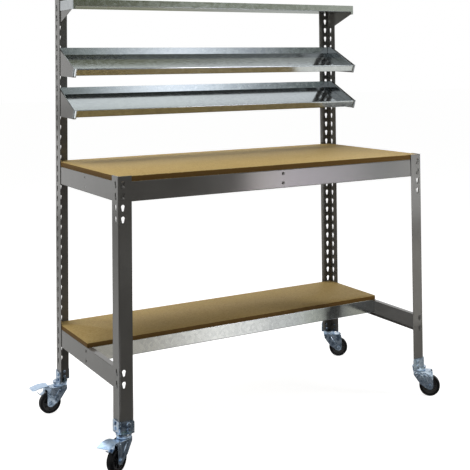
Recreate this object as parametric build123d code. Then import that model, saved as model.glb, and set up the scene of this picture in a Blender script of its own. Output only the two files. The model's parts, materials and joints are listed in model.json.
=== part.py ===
from build123d import *
import os
from math import atan2, degrees, hypot

# A mobile workbench of boltless framing: keyhole-punched angle posts, folded painted rails, chipboard
# boards, three galvanised trays above the worktop and four swivel castors, two of them with a brake.
# Lengths are in millimetres. X runs along the bench, Y from its front to its back, Z up from the floor.
# The origin lies on the floor under the middle of the four posts.

# Whole bench
bench_width = 1258.0
bench_depth = 642.0
castor_height = 114.0

# Clearances and the overrun of cuts
contact_gap = 0.2
fit_clearance = 0.15
running_clearance = 0.05
side_clearance = 0.3
overrun = 5.0

# Posts: rolled angle with a keyhole in both flanges at every row
post_sheet = 2.0
post_inner_bend = 2.0
post_front_flange = 47.5
post_side_flange = 55.0
row_pitch = 38.1
first_seat = 31.0
front_leg_margin = 35.0
rear_post_margin = 42.4
front_gauge = 16.5
side_gauge = 23.0
keyhole_height = 22.0
keyhole_head_radius = 6.25
keyhole_seat_drop = 3.7
front_leg_row_counts = [3, 4, 17, 18, 19, 20]
rear_post_row_count = 36
# Half of a keyhole, from its foot to its head: half widths in head radii, then heights in its height
keyhole_shares = [(0.42, 0.0), (1.0, 0.7), (0.55, 1.0)]

# Rails: folded channels with a shelf for the board above and a small lip below
rail_sheet = 1.5
rail_inner_bend = 1.0
rail_height = 66.0
rail_shelf = 20.0
rail_lip = 10.0
rail_notch = 25.0
rail_rivet_rise = 12.0
worktop_row_count = 19
lower_row_count = 3

# Cross members: the brace under the worktop and the front beam of the lower shelf
tie_sheet = 1.5
tie_height = 53.0
tie_flange = 22.0
tie_end_notch = 22.0
tie_rivet_low = 18.0
tie_rivet_high = 52.0

# Chipboard; the lower shelf's board ends just past the beam that carries its front
board_gap = 0.5
board_corner = 2.0
worktop_thickness = 18.0
lower_board_thickness = 16.0
lower_board_overhang = 4.0

# Sides of what is round and repeats, few each to keep the whole part light
shank_sides = 6
pin_sides = 8
boss_sides = 12
race_sides = 24
tyre_sides = 48

# Rivets and bolts of the frame
rivet_radius = 3.3
rivet_head_radius = 5.6
rivet_head_height = 2.4
rivet_tail = 1.6

# Galvanised trays and their end brackets
tray_sheet = 1.2
tray_inner_bend = 1.0
tray_depth = 198.0
tray_lip = 26.0
tray_back = 28.0
tray_rise = 79.0
tray_bolt_rise = 98.8
top_tray_rise = 5.4
upper_tray_row_counts = (32, 30)
lower_tray_row_counts = (28, 26)
top_tray_row_counts = (36, 35)
bracket_sheet = 1.5
bracket_inner_bend = 1.0
bracket_flange = 11.0
bracket_drop = 6.0
bracket_edge = 1.0
bracket_shoulder = 28.0
end_panel_drop = 11.0
gusset_sheet = 1.5
gusset_setback = 7.0
gusset_nose = 7.0
gusset_height = 57.0
gusset_foot = 51.0

# Castor shoes: pressed corners bolted round the posts' lower ends
shoe_wall = 4.0
shoe_inner_bend = 3.5
shoe_reach = 50.0
shoe_height = 42.0
shoe_base = 5.0
shoe_base_radius = 27.0
shoe_corner_radius = 9.0
shoe_bolt_offset = 29.5
shoe_bolt_low = 8.0
shoe_bolt_high = 25.5
bolt_radius = 3.0
bolt_head_radius = 5.8
bolt_head_height = 3.6
nut_height = 5.0

# Castors: swivel axis near the post's corner, wheel, fork and axle
axis_near = 8.0
axis_far = 18.0
wheel_radius = 40.0
castor_trail = 40.0
tyre_width = 25.0
tyre_inner_radius = 30.0
hub_width = 21.0
hub_boss_radius = 11.0
axle_radius = 4.0
axle_head_radius = 7.0
axle_head_height = 4.5
fork_sheet = 2.2
fork_gap = 30.0
fork_boss_radius = 14.0
fork_nose_reach = 22.0
fork_nose_radius = 3.0
fork_nose_height = 14.0
fork_knee_reach = 6.0
fork_knee_height = 51.0
fork_knee_radius = 4.0
fork_rib_length = 40.0
fork_rib_width = 9.0
fork_rib_height = 1.2
fork_rib_low = 14.0
crown_radius = 25.0
race_height = 10.4
race_gap = 0.6
king_pin_radius = 6.0
king_nut_radius = 10.0
king_nut_height = 3.4

# Brakes
pivot_reach = 46.0
pivot_drop = 7.0
pin_radius = 2.5
pin_head_radius = 4.2
pin_head_height = 1.6
pedal_sheet = 2.0
pedal_gap = 1.5
pedal_front = 48.0
pedal_bend = 84.0
pedal_end = 118.0
pedal_tip_drop = 6.0
pedal_skirt = 6.0
pedal_lug_end = 66.0
leaf_sheet = 2.0
leaf_bend = 2.0
leaf_width = 18.0
leaf_tail = 80.0
leaf_root = 56.0
leaf_rub_front = (63.0, 80.0)
leaf_rub_back = (76.0, 72.0)
leaf_end = (87.0, 81.0)

# Sides of the bench, heading of each castor's trail in degrees from +X, and whether it has a brake
castors = {
    "front_left": (-1, -1, 212, True),
    "front_right": (1, -1, -37, False),
    "rear_left": (-1, 1, 180, True),
    "rear_right": (1, 1, -30, False),
}

# Derived planes and heights
half_width = bench_width / 2
half_depth = bench_depth / 2
rail_web_x = half_width - post_sheet
rail_web_y = half_depth - post_sheet
bend_room = post_sheet + post_inner_bend + contact_gap
tray_back_y = half_depth - bend_room
tray_front_y = tray_back_y - tray_depth
bolt_y = half_depth - side_gauge
shoe_bottom = castor_height - shoe_base
crown_top = shoe_bottom - race_height - race_gap
crown_bottom = crown_top - fork_sheet
pivot_height = crown_top - pivot_drop
leg_outer = fork_gap / 2 + fork_sheet
pedal_top = shoe_bottom - pedal_gap
pedal_half_width = leg_outer + side_clearance + pedal_sheet

os.makedirs("parts", exist_ok=True)


def seat_height(row):
    """Height over the floor of the rivet seat in the keyholes of a row, counted up from the foot."""
    return castor_height + first_seat + row * row_pitch


def folded_sheet(path, thickness, inner_bend):
    """Section of a sheet folded along path, which its right-hand face follows on the way along it."""
    normals = []
    for (x0, y0), (x1, y1) in zip(path, path[1:]):
        run = hypot(x1 - x0, y1 - y0)
        normals.append(((y0 - y1) / run, (x1 - x0) / run))
    mitres = [normals[0]]
    near_radii, far_radii = [], []
    for (ax, ay), (bx, by) in zip(normals, normals[1:]):
        share = 1 / (1 + ax * bx + ay * by)
        mitres.append((share * (ax + bx), share * (ay + by)))
        turns_left = ax * by > ay * bx
        near_radii.append(inner_bend + thickness if turns_left else inner_bend)
        far_radii.append(inner_bend if turns_left else inner_bend + thickness)
    mitres.append(normals[-1])
    far_path = [(x + thickness * mx, y + thickness * my) for (x, y), (mx, my) in zip(path, mitres)]
    near = FilletPolyline(*path, radius=near_radii)
    far = FilletPolyline(*far_path, radius=far_radii)
    return make_face([*near.edges(), *far.edges(), Line(near @ 0, far @ 0), Line(near @ 1, far @ 1)])


def punch(radius, reach):
    """A hole for a shank along Y, with as many sides as the shank."""
    return extrude(Plane.XZ * RegularPolygon(radius, shank_sides), amount=reach, both=True)


def keyhole(reach):
    """A punch for a keyhole along Y, with the rivet's seat at the origin."""
    half = [
        (wide * keyhole_head_radius, high * keyhole_height - keyhole_seat_drop) for wide, high in keyhole_shares
    ]
    outline = half + [(-x, z) for x, z in reversed(half)]
    return extrude(Plane.XZ * make_face(Polyline(*outline, close=True)), amount=reach, both=True)


def at_corner(shape, side_x, side_y):
    """Takes a shape drawn round a left front outer corner to the bench's corner on these sides."""
    placed = Pos(-half_width, -half_depth, 0) * shape
    if side_x > 0:
        placed = mirror(placed, about=Plane.YZ)
    if side_y > 0:
        placed = mirror(placed, about=Plane.XZ)
    return placed


def post(top, rows):
    """An angle post with its outer corner at the origin and its flanges along +X and +Y."""
    section = folded_sheet(
        [(0, post_side_flange), (0, 0), (post_front_flange, 0)], post_sheet, post_inner_bend
    )
    body = Pos(0, 0, castor_height) * extrude(section, amount=top - castor_height)
    slot = keyhole(2 * post_sheet)
    holes = [Pos(front_gauge, 0, seat_height(row)) * slot for row in rows]
    holes += [Pos(0, side_gauge, seat_height(row)) * Rot(0, 0, 90) * slot for row in rows]
    bolt_hole = punch(bolt_radius + fit_clearance, 2 * post_sheet)
    for rise in (shoe_bolt_low, shoe_bolt_high):
        holes.append(Pos(shoe_bolt_offset, 0, castor_height + rise) * bolt_hole)
        holes.append(Pos(0, shoe_bolt_offset, castor_height + rise) * Rot(0, 0, 90) * bolt_hole)
    return body - holes


def rail(length, hole_inset, has_middle_holes):
    """A rail along X that stands on z = 0, with its web's outer face on y = 0 and its folds towards +Y."""
    section = folded_sheet(
        [(rail_shelf, rail_height), (0, rail_height), (0, 0), (rail_lip, 0)], rail_sheet, rail_inner_bend
    )
    body = extrude(Plane.YZ * section, amount=length / 2, both=True)
    relief = Pos(length / 2, rail_sheet, rail_height / 2) * Box(
        2 * rail_notch, rail_shelf + overrun, 2 * rail_height, align=(Align.CENTER, Align.MIN, Align.CENTER)
    )
    hole = punch(rivet_radius + fit_clearance, 2 * rail_sheet)
    cuts = [relief, mirror(relief, about=Plane.YZ)]
    for rise in (rail_rivet_rise, rail_rivet_rise + row_pitch):
        cuts += [Pos(side * (length / 2 - hole_inset), 0, rise) * hole for side in (-1, 1)]
    if has_middle_holes:
        cuts += [Pos(0, 0, rise) * hole for rise in (tie_rivet_low, tie_rivet_high)]
    return body - cuts


def tie(length):
    """A cross member along X between two rails that stand on z = 0, with tabs riveted to their webs."""
    web_y = -tie_flange / 2
    low = rail_height - tie_height
    section = folded_sheet(
        [(-web_y, rail_height), (web_y, rail_height), (web_y, low), (-web_y, low)], tie_sheet, rail_inner_bend
    )
    body = extrude(Plane.YZ * section, amount=length / 2, both=True)
    tab_top = rail_height - rail_sheet - rail_inner_bend - contact_gap
    relief = Pos(length / 2, 0, tab_top) * Box(
        2 * tie_end_notch, tie_flange + overrun, overrun, align=(Align.CENTER, Align.CENTER, Align.MIN)
    )
    tab = Pos(length / 2, 0, low) * Box(
        tie_sheet, tie_flange, tab_top - low, align=(Align.MAX, Align.CENTER, Align.MIN)
    )
    hole = Rot(0, 0, 90) * punch(rivet_radius + fit_clearance, length)
    body = body - [relief, mirror(relief, about=Plane.YZ)] + [tab, mirror(tab, about=Plane.YZ)]
    return body - [Pos(0, 0, rise) * hole for rise in (tie_rivet_low, tie_rivet_high)]


def rivet(grip):
    """A rivet that enters along +Y, its head resting on the plane y = 0."""
    head = extrude(RegularPolygon(rivet_head_radius, shank_sides), amount=rivet_head_height)
    shank = extrude(RegularPolygon(rivet_radius, shank_sides), amount=-grip - rivet_tail)
    return Rot(90, 0, 0) * (head + shank)


def board(depth, thickness):
    """A board between the posts' flanges, with its corners taken off where it meets the posts' bends."""
    width = bench_width - 2 * (post_sheet + board_gap)
    outline = chamfer(Rectangle(width, depth).vertices(), board_corner)
    return extrude(outline, amount=thickness)


def square_to_deck(distance, rise):
    """The point this far up from a deck's front edge, square to the deck."""
    slope = hypot(tray_depth, rise)
    return (-distance * rise / slope, distance * tray_depth / slope)


def tilted(rise):
    """The turn that lays a level tray's parts along a deck with this rise."""
    return Rot(degrees(atan2(rise, tray_depth)), 0, 0)


def tray(bottom, rise):
    """A tray along X: front lip square to the deck, deck that rises towards the back, and back wall."""
    section = folded_sheet(
        [square_to_deck(tray_lip, rise), (0, 0), (tray_depth, rise), (tray_depth, rise + tray_back)],
        tray_sheet, tray_inner_bend,
    )
    reach = rail_web_x - bracket_sheet - contact_gap
    body = extrude(Plane.YZ * section, amount=reach, both=True)
    relief_depth = bracket_sheet + bracket_inner_bend + contact_gap
    relief = Pos(rail_web_x - bracket_flange - contact_gap, 0, 0) * tilted(rise) * Box(
        bracket_flange, 2 * relief_depth, 2 * (tray_lip + overrun), align=(Align.MIN, Align.CENTER, Align.CENTER)
    )
    return Pos(0, tray_front_y, bottom) * (body - [relief, mirror(relief, about=Plane.YZ)])


def end_bracket(bottom, rise, side_outline, rows):
    """A tray's left end: a plate cut to its side outline, with its front edge folded inwards."""
    reach = tray_depth + tray_rise + tray_back
    plan = folded_sheet([(0, reach), (0, 0), (bracket_flange, 0)], bracket_sheet, bracket_inner_bend)
    sheet = tilted(rise) * extrude(plan, amount=reach, both=True)
    side = extrude(Plane.YZ * make_face(Polyline(*side_outline, close=True)), amount=bracket_flange + overrun)
    plate = Pos(-rail_web_x, tray_front_y, bottom) * (sheet & side)
    hole = Rot(0, 0, 90) * punch(rivet_radius + fit_clearance, 2 * bracket_sheet)
    return plate - [Pos(-rail_web_x, bolt_y, seat_height(row)) * hole for row in rows]


def gusset(bottom):
    """The painted plate behind the left end panel, from under the top tray's deck down the post."""
    top = bottom - contact_gap
    outline = [
        (tray_back_y, top),
        (tray_front_y + gusset_setback, top),
        (tray_front_y + gusset_setback, top - gusset_nose),
        (tray_back_y - gusset_foot, top - gusset_height),
        (tray_back_y, top - gusset_height),
    ]
    plate = extrude(Plane.YZ * make_face(Polyline(*outline, close=True)), amount=gusset_sheet)
    hole = Rot(0, 0, 90) * punch(rivet_radius + fit_clearance, 2 * gusset_sheet)
    plate = plate - [Pos(0, bolt_y, seat_height(row)) * hole for row in top_tray_row_counts]
    return Pos(-rail_web_x + bracket_sheet, 0, 0) * plate


def shoe(axis_x, axis_y):
    """The shoe of a post whose outer corner is at the origin: two walls and a round base under the post."""
    section = folded_sheet(
        [(-shoe_wall, shoe_reach), (-shoe_wall, -shoe_wall), (shoe_reach, -shoe_wall)], shoe_wall, shoe_inner_bend
    )
    walls = Pos(0, 0, shoe_bottom) * extrude(section, amount=shoe_height)
    free_corners = [
        edge
        for edge in walls.faces().sort_by(Axis.Z)[-1].edges()
        if max(edge.center().X, edge.center().Y) > shoe_reach - contact_gap
    ]
    walls = fillet(free_corners, shoe_corner_radius)
    disc = RegularPolygon(shoe_base_radius, race_sides)
    base = Pos(axis_x, axis_y, shoe_bottom) * extrude(disc, amount=shoe_base)
    hole = punch(bolt_radius + fit_clearance, 2 * shoe_wall)
    holes = []
    for rise in (shoe_bolt_low, shoe_bolt_high):
        holes.append(Pos(shoe_bolt_offset, 0, castor_height + rise) * hole)
        holes.append(Pos(0, shoe_bolt_offset, castor_height + rise) * Rot(0, 0, 90) * hole)
    return (walls - holes) + base


def shoe_bolt():
    """A bolt that enters a shoe's wall along +Y, with its nut behind the post's flange at y = 0."""
    head = Pos(0, 0, shoe_wall) * extrude(RegularPolygon(bolt_head_radius, 6), amount=bolt_head_height)
    shank = Pos(0, 0, shoe_wall) * extrude(RegularPolygon(bolt_radius, shank_sides), amount=-shoe_wall - post_sheet)
    nut = Pos(0, 0, -post_sheet) * extrude(RegularPolygon(bolt_head_radius, 6), amount=-nut_height)
    return Rot(90, 0, 0) * (head + shank + nut)


def stacked(*steps):
    """Prisms along Z, each from its radius, its number of sides, its foot and its height."""
    return [Pos(0, 0, foot) * extrude(RegularPolygon(radius, sides), amount=height)
            for radius, sides, foot, height in steps]


def running_bore(radius, reach):
    """A bore along Z whose flats clear a shaft of this radius."""
    return extrude(RegularPolygon(radius + running_clearance, pin_sides, major_radius=False), amount=reach, both=True)


def swivel_head():
    """The fixed half of a castor: upper race, and the king pin with its nut under the fork's crown."""
    nut_top = crown_bottom - side_clearance
    race, pin, nut = stacked(
        (crown_radius, race_sides, shoe_bottom - race_height, race_height),
        (king_pin_radius, pin_sides, nut_top, shoe_bottom - nut_top),
        (king_nut_radius, shank_sides, nut_top - king_nut_height, king_nut_height),
    )
    return race + pin + nut


def fork(has_brake):
    """The turning half of a castor: a crown plate and two pressed legs round the wheel, trailing +X."""
    nose_x = fork_nose_radius - fork_nose_reach
    rounds = [
        (nose_x, crown_top - fork_nose_radius, fork_nose_radius),
        (nose_x, crown_top - fork_nose_height, fork_nose_radius),
        (fork_knee_reach, fork_knee_height, fork_knee_radius),
        (castor_trail, wheel_radius, fork_boss_radius),
        (pivot_reach, pivot_height, pivot_drop),
    ]
    edges = [edge for x, z, radius in rounds for edge in (Pos(x, z) * RegularPolygon(radius, boss_sides)).edges()]
    leg = extrude(Plane.XZ.offset(fork_gap / 2) * make_hull(edges), amount=fork_sheet)
    rib_face = Pos(castor_trail - fork_rib_low, wheel_radius + fork_rib_low) * Rot(0, 0, 125) * (
        Pos(fork_rib_length / 2, 0) * Rectangle(fork_rib_length, fork_rib_width)
    )
    rib = extrude(Plane.XZ.offset(leg_outer) * rib_face, amount=fork_rib_height)
    legs = leg + rib
    crown = RegularPolygon(crown_radius, race_sides) + Pos(pivot_reach / 2, 0) * Rectangle(pivot_reach, 2 * leg_outer)
    crown = Pos(0, 0, crown_bottom) * extrude(crown, amount=fork_sheet)
    reach = leg_outer + overrun
    bores = [
        Pos(0, 0, crown_top) * running_bore(king_pin_radius, overrun),
        Pos(castor_trail, 0, wheel_radius) * Rot(90, 0, 0) * running_bore(axle_radius, reach),
    ]
    if has_brake:
        bores.append(Pos(pivot_reach, 0, pivot_height) * Rot(90, 0, 0) * running_bore(pin_radius, reach))
    return crown + [legs, mirror(legs, about=Plane.XZ)] - bores


def cross_bolt(radius, half_length, head_radius, head_height):
    """A bolt along Y with a head on one end and a nut on the other, both six-sided."""
    shank, end = stacked(
        (radius, pin_sides, -half_length, 2 * half_length),
        (head_radius, shank_sides, half_length, head_height),
    )
    return Rot(90, 0, 0) * (shank + [end, mirror(end, about=Plane.XY)])


def axle():
    return Pos(castor_trail, 0, wheel_radius) * cross_bolt(
        axle_radius, leg_outer, axle_head_radius, axle_head_height
    )


def on_axle(shape):
    return Pos(castor_trail, 0, wheel_radius) * Rot(90, 0, 0) * shape


def wheel_hub():
    """A moulded hub: a drum under the tyre with a longer boss round the axle."""
    boss_half = fork_gap / 2 - side_clearance
    drum, boss = stacked(
        (tyre_inner_radius, race_sides, -hub_width / 2, hub_width),
        (hub_boss_radius, boss_sides, -boss_half, 2 * boss_half),
    )
    return on_axle(drum + boss - running_bore(axle_radius, hub_width))


def tyre():
    ring = RegularPolygon(wheel_radius, tyre_sides) - RegularPolygon(
        tyre_inner_radius + running_clearance, race_sides
    )
    return on_axle(extrude(ring, amount=tyre_width / 2, both=True))


def brake_pedal():
    """A pressed channel over the wheel: top plate, two skirts and a lug at each side of the fork."""
    tip = pedal_top - pedal_tip_drop
    skirt = [
        (pedal_front, pedal_top),
        (pedal_bend, pedal_top),
        (pedal_end, tip),
        (pedal_end, tip - pedal_skirt),
        (pedal_bend, pedal_top - pedal_skirt),
        (pedal_front, pedal_top - pedal_skirt),
    ]
    lug_root = Pos((pedal_front + pedal_lug_end) / 2, pedal_top - pedal_skirt / 2) * Rectangle(
        pedal_lug_end - pedal_front, pedal_skirt
    )
    lug_round = Pos(pivot_reach, pivot_height) * RegularPolygon(pivot_drop, boss_sides)
    lug_edges = lug_round.edges() + lug_root.edges()
    side = make_face(Polyline(*skirt, close=True)) + make_hull(lug_edges)
    under = [
        (pivot_reach - pivot_drop - overrun, pedal_top - pedal_sheet),
        (pedal_bend, pedal_top - pedal_sheet),
        (pedal_end, tip - pedal_sheet),
        (pedal_end + overrun, tip - pedal_sheet),
        (pedal_end + overrun, wheel_radius),
        (pivot_reach - pivot_drop - overrun, wheel_radius),
    ]
    outer = extrude(Plane.XZ * side, amount=pedal_half_width, both=True)
    inner = extrude(
        Plane.XZ * make_face(Polyline(*under, close=True)), amount=pedal_half_width - pedal_sheet, both=True
    )
    bore = running_bore(pin_radius, pedal_half_width + overrun)
    return outer - inner - Pos(pivot_reach, 0, pivot_height) * Rot(90, 0, 0) * bore


def pedal_pin():
    return Pos(pivot_reach, 0, pivot_height) * cross_bolt(
        pin_radius, pedal_half_width + side_clearance, pin_head_radius, pin_head_height
    )


def brake_shoe():
    """The brake's leaf: a strip under the pedal's plate, folded down to lie along the tyre."""
    root = pedal_top - pedal_sheet
    strip = folded_sheet(
        [(leaf_tail, root), (leaf_root, root), leaf_rub_front, leaf_rub_back, leaf_end], leaf_sheet, leaf_bend
    )
    return extrude(Plane.XZ * strip, amount=leaf_width / 2, both=True)


def write(node, shape):
    shape.label = node
    export_step(shape, f"parts/{node}.step")
    print(node, len(shape.solids()))


corners = {name: sides[:2] for name, sides in castors.items()}
worktop_bottom = seat_height(worktop_row_count) - rail_rivet_rise
lower_bottom = seat_height(lower_row_count) - rail_rivet_rise

# Posts
front_leg = post(seat_height(max(front_leg_row_counts)) + front_leg_margin, front_leg_row_counts)
rear_post = post(
    seat_height(rear_post_row_count) + rear_post_margin, range(1, rear_post_row_count + 1)
)
write("front_left_leg", at_corner(front_leg, -1, -1))
write("front_right_leg", at_corner(front_leg, 1, -1))
write("rear_left_post", at_corner(rear_post, -1, 1))
write("rear_right_post", at_corner(rear_post, 1, 1))

# Rails and cross members
long_rail_length = bench_width - 2 * bend_room
side_rail_length = bench_depth - 2 * bend_room
long_rail = Pos(0, -rail_web_y, 0) * rail(long_rail_length, front_gauge - bend_room, True)
plain_long_rail = Pos(0, -rail_web_y, 0) * rail(long_rail_length, front_gauge - bend_room, False)
side_rail = Pos(-rail_web_x, 0, 0) * Rot(0, 0, -90) * rail(side_rail_length, side_gauge - bend_room, True)
brace = Rot(0, 0, 90) * tie(2 * (rail_web_y - rail_sheet))
beam = tie(2 * (rail_web_x - rail_sheet))
worktop_tier = Pos(0, 0, worktop_bottom)
lower_tier = Pos(0, 0, lower_bottom)
write("worktop_front_rail", worktop_tier * long_rail)
write("worktop_rear_rail", worktop_tier * mirror(long_rail, about=Plane.XZ))
write("worktop_left_rail", worktop_tier * side_rail)
write("worktop_right_rail", worktop_tier * mirror(side_rail, about=Plane.YZ))
write("worktop_centre_brace", worktop_tier * brace)
write("lower_left_rail", lower_tier * side_rail)
write("lower_right_rail", lower_tier * mirror(side_rail, about=Plane.YZ))
write("lower_rear_rail", lower_tier * mirror(plain_long_rail, about=Plane.XZ))
write("lower_front_beam", lower_tier * beam)

# Boards
worktop_depth = bench_depth - 2 * (post_sheet + board_gap)
lower_board_depth = (worktop_depth + tie_flange) / 2 + lower_board_overhang
lower_board_y = (worktop_depth - lower_board_depth) / 2
write("worktop_board", Pos(0, 0, worktop_bottom + rail_height) * board(worktop_depth, worktop_thickness))
write(
    "lower_shelf_board",
    Pos(0, lower_board_y, lower_bottom + rail_height) * board(lower_board_depth, lower_board_thickness),
)

# Trays
top_tray_bottom = seat_height(top_tray_row_counts[0]) + top_tray_rise
sloped_outline = [
    square_to_deck(-bracket_drop, tray_rise),
    square_to_deck(tray_lip + bracket_edge, tray_rise),
    (tray_depth - bracket_shoulder, tray_rise + tray_back + bracket_edge),
    (tray_depth, tray_rise + tray_back + bracket_edge),
    (tray_depth, bracket_edge),
]
level_outline = [(0, -end_panel_drop), (0, tray_lip), (tray_depth, tray_lip), (tray_depth, -end_panel_drop)]
trays = {"top_tray": (top_tray_bottom, 0, level_outline, top_tray_row_counts[:1])}
for name, rows in (("upper_tray", upper_tray_row_counts), ("lower_tray", lower_tray_row_counts)):
    trays[name] = (seat_height(rows[0]) - tray_bolt_rise, tray_rise, sloped_outline, rows)
for name, (bottom, rise, side_outline, rows) in trays.items():
    left_end = end_bracket(bottom, rise, side_outline, rows)
    write(name, tray(bottom, rise))
    write(f"{name}_left_end", left_end)
    write(f"{name}_right_end", mirror(left_end, about=Plane.YZ))
left_gusset = gusset(top_tray_bottom)
write("left_gusset", left_gusset)
write("right_gusset", mirror(left_gusset, about=Plane.YZ))

# Rivets of the two tiers and bolts of the trays
rail_rivet = rivet(post_sheet + rail_sheet)
tie_rivet = rivet(rail_sheet + tie_sheet)


def tier_rivets(bottom, sides_y, tie_places):
    """Two rivets per rail end, on the front or back faces given and both side faces, and the tie's."""
    group = []
    for rise in (rail_rivet_rise, rail_rivet_rise + row_pitch):
        front = Pos(front_gauge, 0, bottom + rise) * rail_rivet
        side = Pos(0, side_gauge, bottom + rise) * Rot(0, 0, -90) * rail_rivet
        for side_x in (-1, 1):
            group += [at_corner(front, side_x, side_y) for side_y in sides_y]
            group += [at_corner(side, side_x, side_y) for side_y in (-1, 1)]
    for rise in (tie_rivet_low, tie_rivet_high):
        group += [Pos(0, 0, bottom + rise) * place * tie_rivet for place in tie_places]
    return Compound(children=group)


brace_ends = [Rot(0, 0, turn) * Pos(0, -rail_web_y, 0) for turn in (0, 180)]
beam_ends = [Rot(0, 0, turn) * Pos(0, -rail_web_x, 0) for turn in (-90, 90)]
write("worktop_rivets", tier_rivets(worktop_bottom, (-1, 1), brace_ends))
write("lower_rivets", tier_rivets(lower_bottom, (1,), beam_ends))

tray_grips = [
    (upper_tray_row_counts + lower_tray_row_counts, post_sheet + bracket_sheet),
    (top_tray_row_counts, post_sheet + bracket_sheet + gusset_sheet),
]
tray_bolts = []
for rows, grip in tray_grips:
    for row in rows:
        left_bolt = Pos(-half_width, bolt_y, seat_height(row)) * Rot(0, 0, -90) * rivet(grip)
        tray_bolts += [left_bolt, mirror(left_bolt, about=Plane.YZ)]
write("tray_bolts", Compound(children=tray_bolts))

# Castor shoes and castors
bolts = []
for name, (side_x, side_y, heading, has_brake) in castors.items():
    axis_x, axis_y = (axis_far, axis_near) if side_x == side_y else (axis_near, axis_far)
    write(f"{name}_shoe", at_corner(shoe(axis_x, axis_y), side_x, side_y))
    for rise in (shoe_bolt_low, shoe_bolt_high):
        front = Pos(shoe_bolt_offset, 0, castor_height + rise) * shoe_bolt()
        side = Pos(0, shoe_bolt_offset, castor_height + rise) * Rot(0, 0, -90) * shoe_bolt()
        bolts += [at_corner(front, side_x, side_y), at_corner(side, side_x, side_y)]
    place = Pos(side_x * (half_width - axis_x), side_y * (half_depth - axis_y), 0) * Rot(0, 0, heading)
    write(f"{name}_swivel_head", place * swivel_head())
    write(f"{name}_fork", place * fork(has_brake))
    write(f"{name}_axle", place * axle())
    write(f"{name}_wheel_hub", place * wheel_hub())
    write(f"{name}_tyre", place * tyre())
    if has_brake:
        write(f"{name}_brake_pedal", place * brake_pedal())
        write(f"{name}_pedal_pin", place * pedal_pin())
        write(f"{name}_brake_shoe", place * brake_shoe())
write("shoe_bolts", Compound(children=bolts))
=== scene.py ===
import json
import math

import bmesh
import bpy
from mathutils import Matrix, Vector
from mathutils.geometry import tessellate_polygon


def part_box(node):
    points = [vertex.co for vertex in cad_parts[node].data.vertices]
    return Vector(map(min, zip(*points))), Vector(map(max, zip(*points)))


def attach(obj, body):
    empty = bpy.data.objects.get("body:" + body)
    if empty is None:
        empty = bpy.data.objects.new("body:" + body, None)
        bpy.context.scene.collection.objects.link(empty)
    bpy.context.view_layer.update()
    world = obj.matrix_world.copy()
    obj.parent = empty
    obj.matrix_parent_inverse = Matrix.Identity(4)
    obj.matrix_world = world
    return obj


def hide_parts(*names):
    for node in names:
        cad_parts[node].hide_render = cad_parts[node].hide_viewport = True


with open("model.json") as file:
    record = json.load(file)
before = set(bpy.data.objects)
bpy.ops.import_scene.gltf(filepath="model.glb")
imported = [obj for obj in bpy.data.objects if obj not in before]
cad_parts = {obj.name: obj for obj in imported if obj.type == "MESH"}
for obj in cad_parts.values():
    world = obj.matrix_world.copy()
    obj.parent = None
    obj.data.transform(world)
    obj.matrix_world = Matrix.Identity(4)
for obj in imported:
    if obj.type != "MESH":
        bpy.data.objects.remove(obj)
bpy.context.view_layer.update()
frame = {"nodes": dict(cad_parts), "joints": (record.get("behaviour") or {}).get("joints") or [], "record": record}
mm = 0.001
print("frame loaded:", len(frame["nodes"]), "nodes")


# Colours and nodes

def hexColor(code):
    # an sRGB hex value as linear RGBA
    channels = [int(code[i:i + 2], 16) / 255 for i in (1, 3, 5)]
    linear = [c / 12.92 if c <= 0.04045 else ((c + 0.055) / 1.055) ** 2.4 for c in channels]
    return (*linear, 1.0)


def setInputs(tree, node, inputs):
    # inputs are values, or output sockets to link
    for key, value in inputs.items():
        if isinstance(value, bpy.types.NodeSocket):
            tree.links.new(value, node.inputs[key])
        else:
            node.inputs[key].default_value = value


def addNode(tree, kind, inputs=None, **settings):
    node = tree.nodes.new(kind)
    for key, value in settings.items():
        setattr(node, key, value)
    setInputs(tree, node, inputs or {})
    return node


def calculated(tree, operation, *values):
    # what a Math node makes of numbers and sockets
    return addNode(tree, "ShaderNodeMath", dict(enumerate(values)), operation=operation).outputs["Value"]


def remapped(tree, value, low, high, fromLow=0.0, fromHigh=1.0):
    return addNode(tree, "ShaderNodeMapRange", {
        "Value": value, "From Min": fromLow, "From Max": fromHigh, "To Min": low, "To Max": high,
    }).outputs["Result"]


def around(tree, value, middle, span):
    # the value drawn out over a span on each side of the middle
    return remapped(tree, value, middle - span, middle + span)


def ramp(tree, value, stops):
    # stops are (place, colour) pairs, each colour in hex or linear
    node = addNode(tree, "ShaderNodeValToRGB", {"Fac": value})
    elements = node.color_ramp.elements
    while len(elements) < len(stops):
        elements.new(1.0)
    for element, (place, color) in zip(elements, stops):
        element.position = place
        element.color = hexColor(color) if isinstance(color, str) else color
    return node.outputs["Color"]


def bareMaterial(name):
    material = bpy.data.materials.new(name)
    material.use_nodes = True
    material.node_tree.nodes.clear()
    return material, material.node_tree


def newMaterial(name):
    material, tree = bareMaterial(name)
    shader = addNode(tree, "ShaderNodeBsdfPrincipled")
    addNode(tree, "ShaderNodeOutputMaterial", {"Surface": shader.outputs["BSDF"]})
    return material, tree, shader, addNode(tree, "ShaderNodeTexCoord").outputs["Object"]


def noise(tree, place, sizeMm, detail=2.0, roughness=0.5):
    # noise whose largest lumps are about sizeMm across
    return addNode(tree, "ShaderNodeTexNoise", {
        "Vector": place, "Scale": 1 / (sizeMm * mm), "Detail": detail, "Roughness": roughness,
    }).outputs["Fac"]


def cellShade(tree, place, sizeMm, channel):
    # cells about sizeMm across, each with a shade of its own
    cells = addNode(tree, "ShaderNodeTexVoronoi", {
        "Vector": place, "Scale": 1 / (sizeMm * mm), "Randomness": 1.0,
    }, voronoi_dimensions="3D", feature="F1")
    return addNode(tree, "ShaderNodeSeparateColor", {"Color": cells.outputs["Color"]}).outputs[channel]


def drawnOut(tree, place, share):
    # the place squeezed along X, which draws a pattern out along it
    return addNode(tree, "ShaderNodeMapping", {
        "Vector": place, "Scale": (share, 1.0, 1.0),
    }, vector_type="POINT").outputs["Vector"]


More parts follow.
